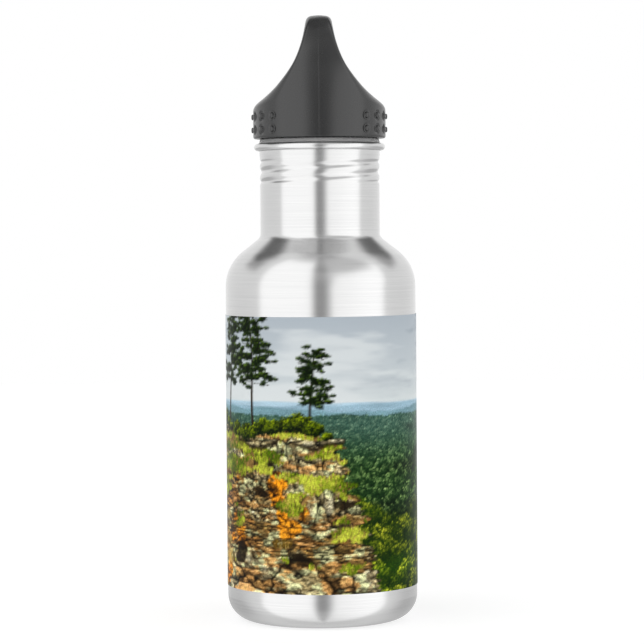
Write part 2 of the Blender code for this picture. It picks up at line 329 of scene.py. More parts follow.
SKY_TOP, SKY_LOW = (164, 173, 181), (200, 207, 208)
CLOUD_DARK, CLOUD_LIGHT = (108, 120, 134), (208, 213, 214)
HILLS = ((164, 191, 206), (142, 172, 188), (112, 146, 156))
FAR_FOREST = ((38, 62, 54), (120, 150, 124))
MID_FOREST = ((8, 28, 10), (146, 176, 104))
NEAR_TREES = ((20, 44, 0), (250, 255, 70))
PINE = ((4, 16, 2), (92, 116, 34))
WILLOW = ((20, 32, 6), (126, 140, 58))
BUSH = ((6, 18, 0), (152, 170, 20))
GRASS = ((70, 96, 4), (196, 206, 66))
DRY_GRASS = ((96, 72, 22), (196, 168, 92))
BARK = ((26, 20, 14), (98, 80, 62))
TAN_ROCK = ((200, 172, 118), (144, 118, 70), (184, 138, 76), (112, 88, 48), (192, 168, 120))
PALE_ROCK = ((224, 212, 170), (196, 178, 132), (168, 150, 104), (214, 196, 144), (150, 130, 88))
GREY_ROCK = ((168, 150, 106), (126, 108, 70), (194, 176, 130), (144, 122, 80), (106, 90, 58))
ORANGE, RUST, LICHEN, SHADE = (222, 132, 26), (182, 122, 62), (202, 206, 152), (24, 17, 8)
SOIL = (156, 120, 66)
SUN = (-0.35, 0.8)

# Heights as shares of the picture's height
HORIZON = 0.70
FOREST_TOP = 0.64

# Places in the picture, in millimetres: x runs from the middle of the front, y from the bottom.
# The ledge's end and its skyline, as (x, y)
LEDGE_END = ((24, -2), (17, 14), (15, 30), (7, 44), (3, 60))
LEDGE_TOP = ((-112, 64), (-84, 58), (-58, 63), (-30, 55), (-8, 59), (6, 53))
# The left ends of the slabs that cap the ledge
SLABS = (-96, -58, -36, -12)
# Pines, as (x, height of the top, spread, lean)
PINES = ((-94, 104, 12, 1), (-66, 98, 9, -1), (-43, 110, 9, 2), (-27, 112, 11, -2), (-4, 88, 7, 1))
BARE_TRUNK = 0.34
BUSH_STEP = 3.6


class Picture:
    """A picture painted on a grid that closes on itself sideways; sizes are in millimetres."""

    def __init__(self, columns, rows, around, height, seed):
        self.columns, self.rows = columns, rows
        self.around, self.height = around, height
        self.step = around / columns
        self.random = np.random.default_rng(seed)
        x = ((np.arange(columns) + 0.5) / columns - 0.5) * around
        y = (np.arange(rows) + 0.5) / rows * height
        self.x, self.y = np.meshgrid(x, y)
        self.colour = np.zeros((rows, columns, 3))
        self.grain = np.zeros((rows, columns))
        self.stamps = {}

    def noise(self, across, up, octaves=4):
        """Fractal noise from 0 to 1, with features of about across by up millimetres."""
        total, weight = 0.0, 1.0
        for _ in range(octaves):
            wide = max(int(round(self.around / across)), 2)
            high = max(int(round(self.height / up)), 2)
            lattice = self.random.random((high + 2, wide))
            u = (self.x / self.around + 0.5) * wide
            v = self.y / self.height * high
            i, j = np.floor(u).astype(int), np.floor(v).astype(int)
            s, t = smooth_step(u - i, 0, 1), smooth_step(v - j, 0, 1)
            low = mix(lattice[j, i % wide], lattice[j, (i + 1) % wide], s)
            top = mix(lattice[j + 1, i % wide], lattice[j + 1, (i + 1) % wide], s)
            total = total + weight * (mix(low, top, t) - 0.5)
            weight *= 0.55
            across, up = across / 2, up / 2
        return np.clip(0.5 + total, 0, 1)

    def blocks(self, wide, high, warp):
        """Irregular blocks of about wide by high millimetres, their sides bent by warp.

        Returns each point's distance from its block's edge, its block's random number, and its
        place in the block, across and up, all in shares of the block's size.
        """
        columns, rows = int(round(self.around / wide)), int(self.height / high) + 6
        seeds = self.random.random((rows, columns, 3))
        u = (self.x / self.around + 0.5) * columns + warp * (self.noise(wide * 1.4, high * 1.4) - 0.5)
        v = self.y / high + 2 + warp * (self.noise(wide * 1.4, high * 1.4) - 0.5)
        i, j = np.floor(u).astype(int), np.floor(v).astype(int)
        first = second = np.full(self.x.shape, 99.0)
        number = across = up = np.zeros(self.x.shape)
        for down in (-1, 0, 1):
            for aside in (-1, 0, 1):
                seed = seeds[np.clip(j + down, 0, rows - 1), (i + aside) % columns]
                dx, dy = u - i - aside - seed[..., 0], v - j - down - seed[..., 1]
                apart = np.abs(dx * dx * dx) + np.abs(dy * dy * dy)
                closer = apart < first
                second = np.where(closer, first, np.minimum(second, apart))
                first = np.where(closer, apart, first)
                number = np.where(closer, seed[..., 2], number)
                across, up = np.where(closer, dx, across), np.where(closer, dy, up)
        return np.cbrt(second) - np.cbrt(first), number, across, up

    def sunlit(self, relief):
        """How brightly a surface of this relief, in millimetres, is lit: about 0.5 where it is flat."""
        down, along = np.gradient(relief, self.step)
        return np.clip(0.5 - (SUN[0] * -along + SUN[1] * down) * 0.55, 0, 1.2)

    def fill(self, colour, cover=1.0):
        """Lays a colour, or a whole field of colours, over the picture where cover says."""
        cover = np.broadcast_to(np.asarray(cover, float), self.x.shape)[..., None]
        self.colour += (np.asarray(colour, float) - self.colour) * cover

    def stain(self, colour, cover=1.0):
        """Tints what is painted already and keeps its light and shade."""
        light = np.clip(self.colour.mean(axis=2, keepdims=True) / 118, 0.1, 1.25)
        self.fill(np.array(colour, float) * light, cover)

    def stamp(self, *key):
        """The cover of a soft round dab: its half sizes in eighths of a cell, then its middle's
        place within a cell in quarters."""
        if key not in self.stamps:
            half_wide, half_high = max(key[0] / 8, 0.75), max(key[1] / 8, 0.75)
            i = np.arange(-int(half_wide) - 2, int(half_wide) + 3) - key[2] / 4
            j = np.arange(-int(half_high) - 2, int(half_high) + 3) - key[3] / 4
            apart = (i[None, :] / half_wide) ** 2 + (j[:, None] / half_high) ** 2
            self.stamps[key] = np.clip(1.6 * (1 - apart), 0, 1)[..., None]
        return self.stamps[key]

    def dab(self, x, y, wide, high, colour, strength=1.0):
        """One soft-edged dab of paint."""
        column = (x / self.around + 0.5) * self.columns - 0.5
        row = y / self.height * self.rows - 0.5
        i, j = floor(column), floor(row)
        eighth = 8 / self.step
        middle = int((column - i) * 4), int((row - j) * 4)
        cover = self.stamp(int(wide * eighth), int(high * eighth), *middle)
        tall, broad = cover.shape[:2]
        left, low = i - broad // 2, j - tall // 2
        first, last = max(-left, 0), min(self.columns - left, broad)
        under, over = max(-low, 0), min(self.rows - low, tall)
        if first < last and under < over:
            spot = self.colour[low + under : low + over, left + first : left + last]
            spot += (colour - spot) * (cover[under:over, first:last] * strength)

    def leaves(self, x, y, wide, high, palette, count, size, lit):
        """A clump of leaves: dark inside, with light from the upper left."""
        dark, light = (np.array(c, float) for c in palette)
        self.dab(x, y, wide * 0.85, high * 0.85, mix(dark, light, 0.08), 0.85)
        angle, reach, fade, grain = self.random.random((4, count))
        angle, reach = angle * tau, reach**0.55
        dx, dy = reach * np.cos(angle), reach * np.sin(angle)
        shine = 0.30 + lit * (0.6 * dy - 0.3 * dx) + self.random.normal(0, 0.22, count)
        shine = np.clip(shine, 0, 1) * np.where(np.arange(count) < count * 0.35, 0.3, 1.0)
        tints = mix(dark, light, shine[:, None]) * (0.9 + 0.22 * fade[:, None])
        sizes = size * (0.6 + 0.7 * grain)
        xs, ys = x + dx * wide, y + dy * high
        for k in range(count):
            self.dab(xs[k], ys[k], sizes[k], sizes[k] * 0.7, tints[k])


def paint_sky(art, horizon):
    height = np.clip((art.y - horizon) / (art.height - horizon), 0, 1)[..., None]
    art.fill(mix(np.array(SKY_LOW, float), np.array(SKY_TOP, float), height**0.8))
    cloud = art.noise(46, 11, 5)
    gloom = smooth_step(cloud, 0.56, 0.92)
    art.fill(CLOUD_DARK, 0.8 * gloom * height[..., 0] ** 0.5)
    art.fill(CLOUD_LIGHT, 0.75 * smooth_step(art.noise(60, 9, 5), 0.5, 0.85))


def ridge(art, level, swell, wave):
    """The height of a wavy skyline along the picture."""
    line = art.noise(wave, art.height, 4)[0]
    return level + swell * (line - 0.5)


def paint_hills(art, horizon):
    for k, tint in enumerate(HILLS):
        line = ridge(art, horizon - 1.8 * k, 2.4, 60 / (k + 1))
        cover = smooth_step(line[None, :] - art.y, -0.2, 0.2)
        shade = 1 + 0.14 * (art.noise(12, 1.2) - 0.5)
        art.fill(np.array(tint) * shade[..., None], cover)


def crowns(art, wide, high):
    """How brightly tree crowns of this size are lit, from 0 in the gaps between them to 1 on top."""
    edge, number, across, up = art.blocks(wide, high, 0.9)
    lit = 0.50 + 0.75 * up - 0.35 * across + 0.35 * (number - 0.5)
    return np.clip(lit * smooth_step(edge, -0.05, 0.30), 0, 1)


def paint_forest(art, top):
    """Clumps of leaves in rows, small and blue far away, large and yellow-green near by."""
    draw = art.random
    line = ridge(art, top, 1.6, 30)
    for share, tint in ((1.0, FAR_FOREST[0]), (0.82, MID_FOREST[0]), (0.5, NEAR_TREES[0])):
        art.fill(tint, smooth_step(line * share - art.y, 0, 0.5))
    slopes = art.noise(30, 9, 3)
    border = 0.50 + 0.16 * (art.noise(26, art.height, 3)[0] - 0.5)
    shapes = [crowns(art, wide, high) for wide, high in ((2.0, 1.3), (3.6, 3.0), (9.0, 8.0))]
    far, middle, close = (np.array(c, float) for c in (FAR_FOREST, MID_FOREST, NEAR_TREES))
    end = art.around / 2
    y = top
    while y > -3:
        near = min(max((top - y) / top, 0), 1)
        size = 0.5 + 1.6 * near**1.1
        start = -end if y > 54 else 6
        row = min(max(int(y / art.height * art.rows), 0), art.rows - 1)
        haze = mix(far, middle, smooth_step(near, 0.02, 0.34))
        for x in np.arange(start, end, size * 1.1):
            at = x + draw.normal(0, size * 0.4)
            column = int((at / art.around + 0.5) * art.columns) % art.columns
            rise = (1 - near) * (line[column] - top)
            bright = smooth_step(near, border[column] - 0.03, border[column] + 0.03)
            first, second, third = (lit[row, column] for lit in shapes)
            shape = third if bright > 0.5 else mix(first, second, smooth_step(near, 0.05, 0.30))
            lie = smooth_step(slopes[row, column], 0.3, 0.7)
            palette = mix(haze, close, bright) * mix(0.82, 1.18, lie)
            dark, light = palette
            palette = dark, mix(dark, light, mix(0.14, 1.32, shape))
            wide = size * draw.uniform(0.8, 1.2)
            art.leaves(at, y + rise + draw.normal(0, size * 0.3), wide, wide * 0.85, palette,
                       int(7 + 26 * near), 0.27 + 0.16 * near, 0.8)
        y -= size * 0.62


def rock(art, wide, high, palette, warp, relief):
    """A field of colours for rock that breaks into blocks of about wide by high millimetres."""
    edge, number, across, up = art.blocks(wide, high, warp)
    chip_edge, chip, _, _ = art.blocks(wide / 3, high / 2.4, warp)
    grain = art.noise(1.8, 1.2, 4)
    tilt = (number - 0.5) * across * 2.0 + (0.5 - chip) * 0.6
    dome = smooth_step(edge, 0, 0.35) + smooth_step(chip_edge, 0, 0.3) * 0.35
    lit = art.sunlit(relief * (dome + 0.5 * tilt + 0.9 * (grain - 0.5)))
    pick = np.clip(0.6 * number + 0.25 * chip + 0.3 * (art.noise(14, 9) - 0.3), 0, 0.999)
    colour = np.array(palette, float)[(pick * len(palette)).astype(int)]
    light = (0.42 + 0.72 * lit) * (0.84 + 0.5 * (grain - 0.3))
    light = light * mix(0.22, 1.0, smooth_step(edge, 0.01, 0.14))
    light = light * mix(0.6, 1.0, smooth_step(chip_edge, 0, 0.10))
    light = light * mix(0.8, 1.12, smooth_step(up, -0.5, 0.5))
    return colour * light[..., None], grain


def ragged_ovals(art, count, wide, high, ragged):
    """Fields for ovals at random places on the ledge: 1 in the middle, 0 at the ragged edge."""
    draw = art.random
    for _ in range(count):
        x, y = draw.uniform(-110, 20), draw.uniform(2, 50)
        across, up = draw.uniform(0.5, 1.3) * wide, draw.uniform(0.5, 1.3) * high
        bend = ragged * (art.noise(4, 3) - 0.5)
        yield 1 - ((art.x - x) / across) ** 2 - ((art.y - y) / up) ** 2 + bend, across * up


def paint_rocks(art, cover):
    """Rock in thin beds, upright blocks and boulders, each kind where slow noise puts it."""
    drift = 14 * (art.noise(12, 9) - 0.5)
    zone = art.noise(44, 30, 2)
    beds, grain = rock(art, 9.0, 1.75, TAN_ROCK, 0.9, 0.9)
    uprights, _ = rock(art, 4.2, 9.5, PALE_ROCK, 1.1, 1.3)
    rough, _ = rock(art, 7.0, 4.6, GREY_ROCK, 1.4, 1.5)
    boulders, _ = rock(art, 17.0, 9.0, PALE_ROCK, 1.2, 1.6)
    art.fill(rough, cover)
    art.fill(beds, cover * smooth_step(zone, 0.46, 0.49))
    art.fill(uprights, cover * smooth_step(-zone, -0.38, -0.35))
    art.fill(boulders, cover * smooth_step(-art.y - drift, -14, -12))
    # lichen, rust and orange stains
    art.stain(LICHEN, cover * 0.8 * smooth_step(art.noise(4, 3, 5) + 0.15 * (grain - 0.5), 0.56, 0.66))
    rust = smooth_step(art.noise(13, 3.5, 4) + 0.05, 0.60, 0.72)
    art.stain(RUST, cover * 0.65 * rust)
    for spot, _ in ragged_ovals(art, 13, 3.6, 4.6, 1.6):
        art.stain(ORANGE, cover * 0.9 * smooth_step(spot, 0.0, 0.5))
    for spot, _ in ragged_ovals(art, 12, 4.6, 4.0, 1.7):
        art.fill(SHADE, cover * 0.82 * smooth_step(spot, 0.0, 0.6))


def paint_slab(art, face, left, right, level, thick):
    """A slab of rock that caps the ledge, lit from above and dark beneath."""
    x, y = art.x[0], art.y
    sag = level + 1.3 * (art.noise(16, art.height, 5)[0] - 0.5)
    share = np.clip((x - left) / (right - left), 0, 1)
    crest = np.clip(4 * share * (1 - share), 0, 1) ** 0.4
    body = thick * crest * (0.45 + 1.1 * art.noise(7, art.height, 4)[0])
    bottom = sag - body
    inside = smooth_step(sag - y, -0.15, 0.15) * smooth_step(y - bottom, -0.15, 0.15) * (body > 0.2)
    up = np.clip((y - bottom) / np.maximum(body, 0.1), 0, 1)
    shade = mix(0.45, 1.3, smooth_step(up, 0.0, 0.8))
    art.fill(np.clip(face * shade[..., None], 0, 255), inside)
    under = smooth_step(bottom - y, -0.2, 0.1) * smooth_step(y - bottom + 1.2, -0.2, 0.8) * (body > 0.2)
    art.fill(SHADE, 0.7 * under)


def paint_trunk(art, x, foot, top, wide, lean):
    dark, light = (np.array(c, float) for c in BARK)
    for y in np.arange(foot, top, art.step):
        share = (y - foot) / (top - foot)
        at = x + lean * share + 0.4 * sin(y / 6)
        half = mix(wide, wide * 0.4, share)
        art.dab(at, y, half, 0.4, mix(dark, light, art.random.uniform(0, 0.5)))
        art.dab(at + half * 0.4, y, half * 0.45, 0.4, dark, 0.7)


def paint_bough(art, x, y, reach, rise):
    """A bough that leaves a trunk, droops a little and carries flat clumps of needles."""
    draw = art.random
    dark = np.array(BARK[0], float)
    steps = max(int(abs(reach) / 1.25), 2)
    for k in range(1, steps + 1):
        share = k / steps
        px, py = x + reach * share, y + rise * share + 0.07 * abs(reach) * sin(pi * share)
        art.dab(px, py, 0.8, 0.2, dark, 0.9)
        if draw.random() < 0.12:
            continue
        wide = draw.uniform(1.2, 2.5) * mix(1.15, 0.75, share)
        px, py = px + draw.normal(0, 0.5), py + draw.normal(0.4, 0.6)
        art.leaves(px, py, wide, wide * 0.5, PINE, 24, 0.34, 0.95)


def paint_pine(art, x, foot, top, spread, lean):
    """A tall pine: a bare lower trunk and boughs of uneven length."""
    draw = art.random
    paint_trunk(art, x, foot, top, 0.75, lean)
    bare = mix(foot, top, BARE_TRUNK)
    for y in np.arange(bare, top, 0.62):
        share = (y - bare) / (top - bare)
        side = 1 if draw.random() < 0.5 else -1
        reach = side * spread * mix(1.05, 0.6, share) * draw.uniform(0.3, 1.1)
        at = x + lean * (y - foot) / (top - foot)
        paint_bough(art, at, y, reach, draw.uniform(-0.12, 0.16) * abs(reach))


def paint_willow(art, left, right, low):
    """Foliage that hangs in ragged strings from above the picture."""
    draw = art.random
    for _ in range(int((right - left) * 2.4)):
        x = draw.uniform(left, right)
        end = low + (art.height - low) * draw.random() ** 2.2
        y = art.height
        while y > end:
            x += draw.normal(0, 0.3)
            art.leaves(x, y, draw.uniform(0.35, 1.0), draw.uniform(0.5, 1.2), WILLOW, 6, 0.32, 0.5)
            y -= draw.uniform(0.8, 1.7)


def paint_bush(art, x, y, size):
    for _ in range(6):
        dx, dy = art.random.normal(0, size * 0.4), art.random.normal(0, size * 0.28)
        fade = np.array(BUSH, float) * art.random.uniform(0.75, 1.15)
        art.leaves(x + dx, y + dy, size * 0.7, size * 0.6, fade, 90, 0.38, 0.8)


def paint_grass(art, cover, count, palette=GRASS):
    """Tufts of grass: short upright dabs wherever the field cover is set."""
    rows, columns = np.nonzero(cover > 0.5)
    draw = art.random
    patch = art.noise(7, 4)
    dark, light = (np.array(c, float) for c in palette)
    for k in draw.integers(0, len(rows), count):
        x, y = art.x[rows[k], columns[k]], art.y[rows[k], columns[k]]
        shine = min(max(2.2 * (patch[rows[k], columns[k]] - 0.5) + draw.normal(0.45, 0.28), 0), 1)
        art.dab(x, y, 0.24, draw.uniform(0.4, 0.9), mix(dark, light, shine) * draw.uniform(0.8, 1.1), 0.9)


def paint_picture(columns, rows, around, height):
    """A made-up view from a rock ledge: cloudy sky, hills, a wooded valley, pines and bushes.

    Returns the linear colours of a grid of (rows + 1) by (columns + 1) points, each with the
    strength of the fine grain there.
    """
    art = Picture(PAINT_DETAIL * columns, PAINT_DETAIL * rows, around, height, seed=11)
    horizon = HORIZON * height
    paint_sky(art, horizon)
    paint_hills(art, horizon)
    paint_forest(art, FOREST_TOP * height)
    # ledge
    across, up = np.array(LEDGE_END, float).T
    jut = 1.3 * (art.noise(60, 1.5, 3)[:, :1] - 0.5) * 2 + 1.6 * (art.noise(60, 7, 3)[:, :1] - 0.5)
    edge = np.interp(art.y[:, :1], up, across) + 2 * jut
    top = np.interp(art.x[0], *np.array(LEDGE_TOP, float).T) + 1.8 * (art.noise(30, height, 4)[0] - 0.5)
    ledge = smooth_step(edge - art.x, -0.2, 0.25) * smooth_step(top - art.y, -0.2, 0.25)
    paint_rocks(art, ledge)
    rim = ledge * smooth_step(art.x - edge, -2.4, 0)
    art.fill(SHADE, 0.45 * rim)
    # grass on the slope below the skyline and in the clefts
    bank = art.noise(12, 5, 4)
    slope = ledge * smooth_step(bank + 0.22 - 0.016 * np.abs(top - art.y - 6), 0.50, 0.56)
    art.stain(SOIL, 0.9 * slope)
    art.fill(np.array(SOIL) * (0.3 + 0.9 * art.noise(2.4, 1.4))[..., None], 0.45 * slope)
    paint_grass(art, slope * (art.noise(8, 3) > 0.36), 9000)
    for spot, area in ragged_ovals(art, 9, 5.0, 2.2, 1.2):
        paint_grass(art, ledge * smooth_step(spot, 0.1, 0.4), int(14 * area), DRY_GRASS)
    face, _ = rock(art, 10.0, 2.4, PALE_ROCK, 1.3, 0.7)
    draw = art.random
    for left in SLABS:
        right = left + draw.uniform(12, 22)
        level = np.interp((left + right) / 2, art.x[0], top) - draw.uniform(0, 2)
        paint_slab(art, face, left, right, level, draw.uniform(1.6, 3.0))
    # trees
    paint_willow(art, -104, -84, 80)
    for x, crown, spread, lean in PINES:
        foot = np.interp(x, art.x[0], top) - 1
        paint_pine(art, x, foot, crown, spread, lean)
    for x in np.arange(-110, 3, BUSH_STEP):
        level = np.interp(x, art.x[0], top)
        size = draw.uniform(1.6, 4.2)
        paint_bush(art, x + draw.normal(0, 1), level + size * 0.6, size)
    art.grain[:] = smooth_step(horizon - art.y, -1, 6)
    return points_of(art)


def points_of(art):
    """The picture's linear colours and grain at the corners of its cells."""
    layers = np.dstack([np.clip(art.colour / 255, 0, 1) ** 2.2, art.grain])
    layers = np.pad(layers, ((PAINT_DETAIL // 2,) * 2, (0, 0), (0, 0)), mode="edge")
    layers = np.pad(layers, ((0, 0), (PAINT_DETAIL // 2,) * 2, (0, 0)), mode="wrap")
    rows, columns = (n // PAINT_DETAIL for n in layers.shape[:2])
    return layers.reshape(rows, PAINT_DETAIL, columns, PAINT_DETAIL, 4).mean((1, 3))


# ---- shader nodes ----------------------------------------------------------------------------


def wire(tree, kind, inputs=(), output=0, **settings):
    """Adds a node, sets or links its inputs, and returns one of its outputs."""
    made = tree.nodes.new(kind)
    for name, value in settings.items():
        setattr(made, name, value)
    pairs = inputs.items() if isinstance(inputs, dict) else enumerate(inputs)
    for key, value in pairs:
        if isinstance(value, Signal):
            tree.links.new(value.socket, made.inputs[key])
        else:
            made.inputs[key].default_value = value
    return Signal(tree, made.outputs[output])


class Signal:
    """A number or vector in a node tree, so that shading reads as arithmetic."""

    def __init__(self, tree, socket):
        self.tree, self.socket = tree, socket

    def math(self, operation, *others):
        return wire(self.tree, "ShaderNodeMath", [self, *others], operation=operation)

    def __add__(self, other):
        return self.math("ADD", other)

    def __sub__(self, other):
        return self.math("SUBTRACT", other)

    def __mul__(self, other):
        return self.math("MULTIPLY", other)

    def times(self, x, y, z):
        """The vector stretched along each axis."""
        return wire(self.tree, "ShaderNodeVectorMath", [self, (x, y, z)], operation="MULTIPLY")

    def parts(self):
        """The vector's three numbers."""
        first = wire(self.tree, "ShaderNodeSeparateXYZ", [self])
        return [Signal(self.tree, out) for out in first.socket.node.outputs]

    def ease(self, low, high, start=0.0, end=1.0):
        """Turns low..high smoothly into start..end, and holds beyond them."""
        values = [self, low, high, start, end]
        return wire(self.tree, "ShaderNodeMapRange", values, interpolation_type="SMOOTHSTEP")

    def noise(self, scale, detail=2.0, rough=0.5):
        values = {"Vector": self, "Scale": scale, "Detail": detail, "Roughness": rough}
        return wire(self.tree, "ShaderNodeTexNoise", values)

    def blend(self, first, second):
        """A colour between two, with this number as the share of the second."""
        values = {0: self, 6: first, 7: second}
        return wire(self.tree, "ShaderNodeMix", values, output=2, data_type="RGBA")


def vector(x, y, z):
    return wire(x.tree, "ShaderNodeCombineXYZ", [x, y, z])


def place(tree):
    """Where a shaded point lies, in metres."""
    return wire(tree, "ShaderNodeTexCoord", output="Object")


def turned_grain(tree, fine, slow):
    """A vector that changes fast along a turned outline and slowly round its axis."""
    x, y, z = place(tree).parts()
    radius = (x * x + y * y).math("SQRT")
    return vector(radius * fine + x * slow, z * fine, y * slow)


def new_material(name, values):
    """A material with constants set on its shader; returns it, its tree and a setter for inputs."""
    made = bpy.data.materials.new(name)
    made.use_nodes = True
    shader = made.node_tree.nodes["Principled BSDF"]
    for key, value in values.items():
        shader.inputs[key].default_value = value

    def drive(key, signal):
        made.node_tree.links.new(signal.socket, shader.inputs[key])

    return made, made.node_tree, drive


def grey(level):
    return (level, level, level, 1.0)


def bump(height, distance, strength=1.0):
    values = {"Strength": strength, "Distance": distance, "Height": height}
    return wire(height.tree, "ShaderNodeBump", values, output="Normal")


def brushed_steel(name, roughness=0.20, anisotropic=0.6):
    """Steel turned on a lathe: fine rings, wider bands, smudges and small specks."""
    values = {"Metallic": 1.0, "Anisotropic": anisotropic, "Anisotropic Rotation": 0.25}
    made, tree, drive = new_material(name, values)
    rings = turned_grain(tree, 5200.0, 26.0).noise(1.0, 2.0, 0.6)
    bands = turned_grain(tree, 900.0, 10.0).noise(1.0, 2.0, 0.6)
    smudge = place(tree).noise(75.0, 3.0, 0.6).ease(0.48, 0.72)
    speck = place(tree).noise(900.0, 2.0, 0.5).ease(0.68, 0.76)
    tone = rings * 0.7 + bands * 0.3
    light, dark = (0.67, 0.67, 0.667, 1.0), (0.60, 0.60, 0.602, 1.0)
    drive("Base Color", tone.ease(0.25, 0.75).blend(dark, light))
    rough = tone * 0.08 + smudge * 0.03 + speck * 0.04 + (roughness - 0.04)
    drive("Roughness", rough)
    drive("Normal", bump(rings, 0.00001, 0.08))
    drive("Tangent", wire(tree, "ShaderNodeTangent", direction_type="RADIAL", axis="Z"))
    return made


def printed_wrap(name):
    """The printed film: the picture with a fine dye grain under a thin satin gloss."""
    values = {"Coat Weight": 0.02, "Coat Roughness": 0.18, "Specular IOR Level": 0.04}
    made, tree, drive = new_material(name, values)
    picture = wire(tree, "ShaderNodeAttribute", output="Color", attribute_name="picture")
    detail = wire(tree, "ShaderNodeAttribute", output="Alpha", attribute_name="picture")
    spot = place(tree)
    leaf = spot.noise(2600.0, 3.0, 0.65) - 0.5
    dye = spot.noise(9000.0, 1.0, 0.5) - 0.5
    gain = leaf * detail * 2.2 + dye * 0.10 + 1.0
    scaled = wire(tree, "ShaderNodeVectorMath", {0: picture, "Scale": gain}, operation="SCALE")
    drive("Base Color", scaled)
    drive("Roughness", spot.noise(140.0, 3.0, 0.6).ease(0.3, 0.7, 0.30, 0.40))
    drive("Normal", bump(spot.noise(3500.0, 2.0, 0.5), 0.00001, 0.2))
    return made


def moulded_plastic(name, colour, roughness, grain=1800.0, parting=False):
    """Moulded plastic: a spark-eroded grain, faint flow marks, scuffs and a parting line."""
    made, tree, drive = new_material(name, {"Specular IOR Level": 0.8})
    spot = place(tree)
    texture = spot.noise(grain, 3.0, 0.6)
    flow = spot.times(1.0, 1.0, 0.25).noise(60.0, 3.0, 0.6)
    scuff = spot.times(1.0, 1.0, 5.0).noise(260.0, 4.0, 0.7).ease(0.60, 0.74)
    tone = flow * 0.5 + texture * 0.3 + scuff * 0.5
    darker = tuple(c * 0.82 for c in colour) + (1.0,)
    lighter = tuple(c * 1.3 for c in colour) + (1.0,)
    drive("Base Color", tone.ease(0.2, 0.8).blend(darker, lighter))
    drive("Roughness", flow * 0.10 + scuff * 0.08 + (roughness - 0.05))
    height = texture
    if parting:
        x, _, _ = spot.parts()
        height = texture + x.math("ABSOLUTE").ease(0.00005, 0.0003, 1.6, 0.0)
    drive("Normal", bump(height, 0.00003, 0.35))
    return made


def silicone(name):
    """Translucent grey silicone with dust and a dull skin."""
    values = {"Subsurface Weight": 0.3, "Subsurface Radius": (1.0, 1.0, 1.0)}
    values["Subsurface Scale"] = 0.001
    made, tree, drive = new_material(name, values)
    spot = place(tree)
    mottle = spot.noise(420.0, 3.0, 0.6)
    dust = spot.noise(2400.0, 2.0, 0.6).ease(0.60, 0.72)
    drive("Base Color", (mottle * 0.6 + dust * 0.5).ease(0.2, 0.8).blend(grey(0.30), grey(0.42)))
    drive("Roughness", mottle * 0.15 + dust * 0.1 + 0.42)
    drive("Normal", bump(mottle, 0.00002, 0.3))
    return made


# ---- pieces ----------------------------------------------------------------------------------


def thread_wave(angles, z, offset=0.0):
    """How near each angle is to the nearest turn of the thread: the axial distance."""
    turns = (z - THREAD_MIDDLE - offset - THREAD_LEAD * angles / tau) / THREAD_SPACING
    return np.abs(turns - np.round(turns)) * THREAD_SPACING


def thread_fade(z):
    rise = smooth_step(z, THREAD_LOW, THREAD_LOW + THREAD_FADE)
    return rise * (1 - smooth_step(z, THREAD_HIGH - THREAD_FADE, THREAD_HIGH))


def rolled_thread(angles, r, z):
    if r > NECK_RADIUS + 0.1 or not THREAD_LOW < z < THREAD_HIGH:
        return 0 * angles
    wave = 0.5 * (1 + np.cos(tau * thread_wave(angles, z) / THREAD_SPACING))
    return -THREAD_DEPTH * wave**THREAD_SHARPNESS * thread_fade(z)


def make_steel_shell(material):
    low, high = box_of("bottle_shell")
    body = high[0]
    stand_out = body - BASE_CORNER
    stand_in = stand_out - STAND_WIDTH
    ground = low[2]
    corner = (stand_out, ground + BASE_CORNER)
    shoulder = (body - SHOULDER_RADIUS, SHOULDER_START)
    throat = NECK_RADIUS - WALL
    swell = NECK_RADIUS + NECK_SWELL

    def neck_foot(radius, drop):
        """The small hollow curve where the shoulder runs into the neck."""
        end = NECK_START - drop
        ease = [(radius + 1.3, end - 1.03), (radius, end), (radius, end + 1.2)]
        return [tuple(p) for p in rounded_middle(ease, 6)]

    outside = [(stand_in, ground + STAND_CHAMFER), (stand_in + STAND_CHAMFER, ground)]
    outside += arc(corner, BASE_CORNER, -90, 0, 28)
    outside += straight((body, corner[1]), (body, SHOULDER_START), 24)[1:-1]
    outside += arc(shoulder, SHOULDER_RADIUS, 0, SHOULDER_TURN, 30)
    outside += neck_foot(NECK_RADIUS, 0.0)
    outside += straight((NECK_RADIUS, NECK_START + 3), (NECK_RADIUS, THREAD_LOW), 5)
    outside += straight((NECK_RADIUS, THREAD_LOW), (NECK_RADIUS, THREAD_HIGH), 54)[1:]
    grown = [(THREAD_HIGH + 0.8, 0.35), (THREAD_HIGH + 1.5, 0.8), (LIP_MIDDLE[1] - 1.4, 1.0)]
    outside += [(mix(NECK_RADIUS, swell, share), z) for z, share in grown]
    outside += arc(LIP_MIDDLE, LIP_INSIDE, 180, LIP_END, 26)
    outside += arc(LIP_MIDDLE, LIP_OUTSIDE, LIP_END, 180, 34)
    inside = straight((throat, THREAD_LOW), (throat, THREAD_HIGH), 54)
    inside += straight((throat, THREAD_HIGH + 1), (throat, LIP_MIDDLE[1] - 0.5), 2)
    inside = [(throat, NECK_START + 4)] + inside
    inside = neck_foot(throat, WALL / 2) + inside
    inside = arc(shoulder, SHOULDER_RADIUS - WALL, 0, SHOULDER_TURN, 30) + inside
    inside = arc(corner, BASE_CORNER - WALL, -90, 0, 28) + inside
    inside = [(stand_in, ground + WALL)] + inside
    return turned("steel_shell", outside + inside[::-1], material, rolled_thread)


def rounded_middle(corners, steps):
    """A curve that leaves the first point towards the second and arrives at the third."""
    first, middle, last = (np.array(c, float) for c in corners)
    for t in np.linspace(0, 1, steps + 1):
        yield (1 - t) ** 2 * first + 2 * t * (1 - t) * middle + t * t * last


